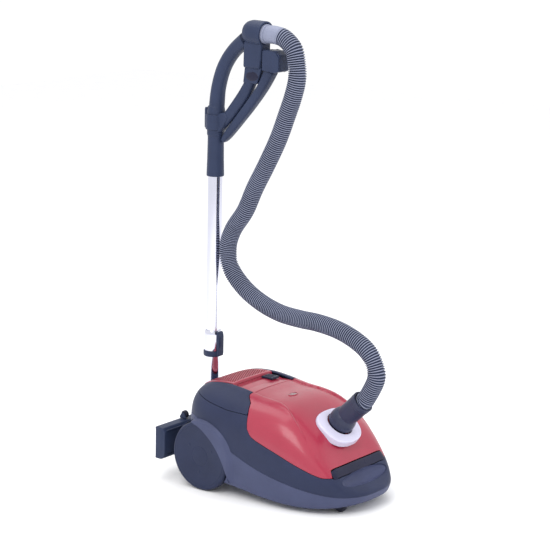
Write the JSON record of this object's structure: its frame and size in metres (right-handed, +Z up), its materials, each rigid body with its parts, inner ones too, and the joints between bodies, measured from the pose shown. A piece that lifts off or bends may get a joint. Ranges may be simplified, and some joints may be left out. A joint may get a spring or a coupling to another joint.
{
  "type": "canister vacuum cleaner",
  "caption": "Canister vacuum cleaner with hinged lid, wheels and casters, parked upright telescopic wand with floor head, looped handle with a brush, and a corrugated hose.",
  "frame": {"origin": "on the floor, under the centre of the box of everything but the hose, at X = 0 in the object's middle plane", "axes": "+Z up, -Y towards the canister's nose, +X its left side"},
  "size_m": [0.284, 0.513, 0.9911],
  "materials": {
    "red_plastic": "glossy",
    "case_plastic": "satin",
    "shell_plastic": "satin",
    "dark_plastic": "satin",
    "black_plastic": "glossy",
    "silver_plastic": "satin",
    "chrome": "polished",
    "steel": "brushed",
    "hose_plastic": "satin",
    "rubber": "matte",
    "paper": "matte",
    "filter_foam": "matte",
    "clear_plastic": "clear",
    "bristle": "matte"
  },
  "bodies": {
    "canister": {"lower_case": "shell_plastic", "upper_case": "case_plastic", "rear_deck": "red_plastic", "cord_outlet": "rubber", "parking_bracket": "case_plastic", "wheel_axle_left": "steel", "wheel_axle_right": "steel", "motor_housing": "dark_plastic", "motor_stator": "steel", "motor_mount": "rubber", "motor_filter": "filter_foam", "filter_frame": "dark_plastic", "dust_bag": "paper", "bag_collar": "paper", "reel_post": "steel", "exhaust_filter": "filter_foam", "control_board": "case_plastic", "hose": "hose_plastic"},
    "wheel_left": {"rear_wheel_left": "dark_plastic"},
    "wheel_right": {"rear_wheel_right": "dark_plastic"},
    "caster_left": {"caster_fork_left": "black_plastic"},
    "caster_right": {"caster_fork_right": "black_plastic"},
    "roller_left": {"caster_roller_left": "rubber"},
    "roller_right": {"caster_roller_right": "rubber"},
    "lid_body": {"lid": "red_plastic", "trim_ring": "silver_plastic", "dust_indicator": "clear_plastic"},
    "latch": {"latch_bar": "black_plastic"},
    "elbow": {"inlet_elbow": "black_plastic"},
    "power_pedal_body": {"power_pedal": "case_plastic"},
    "cord_pedal_body": {"cord_pedal": "case_plastic"},
    "slider": {"suction_slider": "black_plastic"},
    "fan": {"fan_rotor": "steel"},
    "reel": {"cord_reel": "dark_plastic"},
    "wand_lower": {"lower_tube": "chrome", "head_neck": "dark_plastic"},
    "wand_upper": {"upper_tube": "chrome", "slide_sleeve": "chrome", "slide_collar": "dark_plastic", "handle": "dark_plastic", "tool_clip": "dark_plastic"},
    "release": {"release_button": "case_plastic"},
    "hose_end": {"hose_cuff": "hose_plastic"},
    "tool": {"brush_tool": "dark_plastic", "brush_bristles": "bristle"},
    "head": {"head_body": "dark_plastic", "sole_plate": "steel", "head_bristles_front": "bristle", "head_bristles_rear": "bristle", "head_pin": "steel"},
    "rocker": {"head_rocker": "case_plastic"},
    "head_wheel_left": {"head_roller_left": "rubber"},
    "head_wheel_right": {"head_roller_right": "rubber"}
  },
  "joints": [
    {"name": "wheel_left_spin", "type": "hinge", "parent": "canister", "child": "wheel_left", "pos_m": [0.1285, 0.1159, 0.075], "axis": [1, 0, 0], "continuous": true},
    {"name": "wheel_right_spin", "type": "hinge", "parent": "canister", "child": "wheel_right", "pos_m": [-0.1285, 0.1159, 0.075], "axis": [1, 0, 0], "continuous": true},
    {"name": "caster_left_swivel", "type": "hinge", "parent": "canister", "child": "caster_left", "pos_m": [0.06, -0.1916, 0.02], "axis": [0, 0, 1], "continuous": true},
    {"name": "roller_left_spin", "type": "hinge", "parent": "caster_left", "child": "roller_left", "pos_m": [0.06, -0.2006, 0.0115], "axis": [1, 0, 0], "continuous": true},
    {"name": "caster_right_swivel", "type": "hinge", "parent": "canister", "child": "caster_right", "pos_m": [-0.06, -0.1916, 0.02], "axis": [0, 0, 1], "continuous": true},
    {"name": "roller_right_spin", "type": "hinge", "parent": "caster_right", "child": "roller_right", "pos_m": [-0.06, -0.2006, 0.0115], "axis": [1, 0, 0], "continuous": true},
    {"name": "lid_hinge", "type": "hinge", "parent": "canister", "child": "lid_body", "pos_m": [0, 0.026, 0.2172], "axis": [-1, 0, 0], "range_deg": [0, 60], "deforming": ["hose"]},
    {"name": "latch_lift", "type": "hinge", "parent": "lid_body", "child": "latch", "pos_m": [0, -0.1883, 0.098], "axis": [-1, 0, 0], "range_deg": [0, 1.5], "stiffness_Nm_per_rad": 4},
    {"name": "elbow_swivel", "type": "hinge", "parent": "lid_body", "child": "elbow", "pos_m": [0, -0.1441, 0.156], "axis": [0, -0.6018, 0.7986], "continuous": true, "deforming": ["hose"]},
    {"name": "power_pedal_press", "type": "hinge", "parent": "canister", "child": "power_pedal_body", "pos_m": [-0.095, 0.1589, 0.205], "axis": [1, 0, 0], "range_deg": [0, 0.4], "stiffness_Nm_per_rad": 8},
    {"name": "cord_pedal_press", "type": "hinge", "parent": "canister", "child": "cord_pedal_body", "pos_m": [0.095, 0.1589, 0.205], "axis": [1, 0, 0], "range_deg": [0, 0.4], "stiffness_Nm_per_rad": 8},
    {"name": "power_slide", "type": "slide", "parent": "canister", "child": "slider", "axis": [1, 0, 0], "range_m": [-0.072, 0.006]},
    {"name": "fan_spin", "type": "hinge", "parent": "canister", "child": "fan", "pos_m": [0.048, 0.0959, 0.108], "axis": [0, 1, 0], "continuous": true},
    {"name": "reel_spin", "type": "hinge", "parent": "canister", "child": "reel", "pos_m": [-0.056, 0.1059, 0.112], "axis": [1, 0, 0], "continuous": true},
    {"name": "wand_lift", "type": "slide", "parent": "canister", "child": "wand_lower", "axis": [0, -0.0279, 0.9996], "range_m": [0, 0.06], "deforming": ["hose"]},
    {"name": "wand_telescope", "type": "slide", "parent": "wand_lower", "child": "wand_upper", "axis": [0, -0.0279, 0.9996], "range_m": [-0.06, 0.22], "deforming": ["hose"]},
    {"name": "release_press", "type": "slide", "parent": "wand_upper", "child": "release", "axis": [0, 0.9996, 0.0279], "range_m": [0, 0.001], "stiffness_N_per_m": 600},
    {"name": "hose_end_swivel", "type": "hinge", "parent": "wand_upper", "child": "hose_end", "pos_m": [0, 0.0676, 0.96495], "axis": [0, -0.9988, -0.048], "continuous": true},
    {"name": "tool_pull", "type": "slide", "parent": "wand_upper", "child": "tool", "axis": [0, -0.9996, -0.0279], "range_m": [0, 0.03], "deforming": ["hose"]},
    {"name": "head_tilt", "type": "hinge", "parent": "wand_lower", "child": "head", "pos_m": [0, 0.20172, 0.10296], "axis": [1, 0, 0], "range_deg": [-20, 0]},
    {"name": "rocker_press", "type": "hinge", "parent": "head", "child": "rocker", "pos_m": [0, 0.21384, 0.07029], "axis": [1, 0, 0], "range_deg": [-2, 2]},
    {"name": "head_wheel_left_spin", "type": "hinge", "parent": "head", "child": "head_wheel_left", "pos_m": [0.052, 0.23404, 0.12787], "axis": [1, 0, 0], "continuous": true},
    {"name": "head_wheel_right_spin", "type": "hinge", "parent": "head", "child": "head_wheel_right", "pos_m": [-0.052, 0.23404, 0.12787], "axis": [1, 0, 0], "continuous": true}
  ]
}
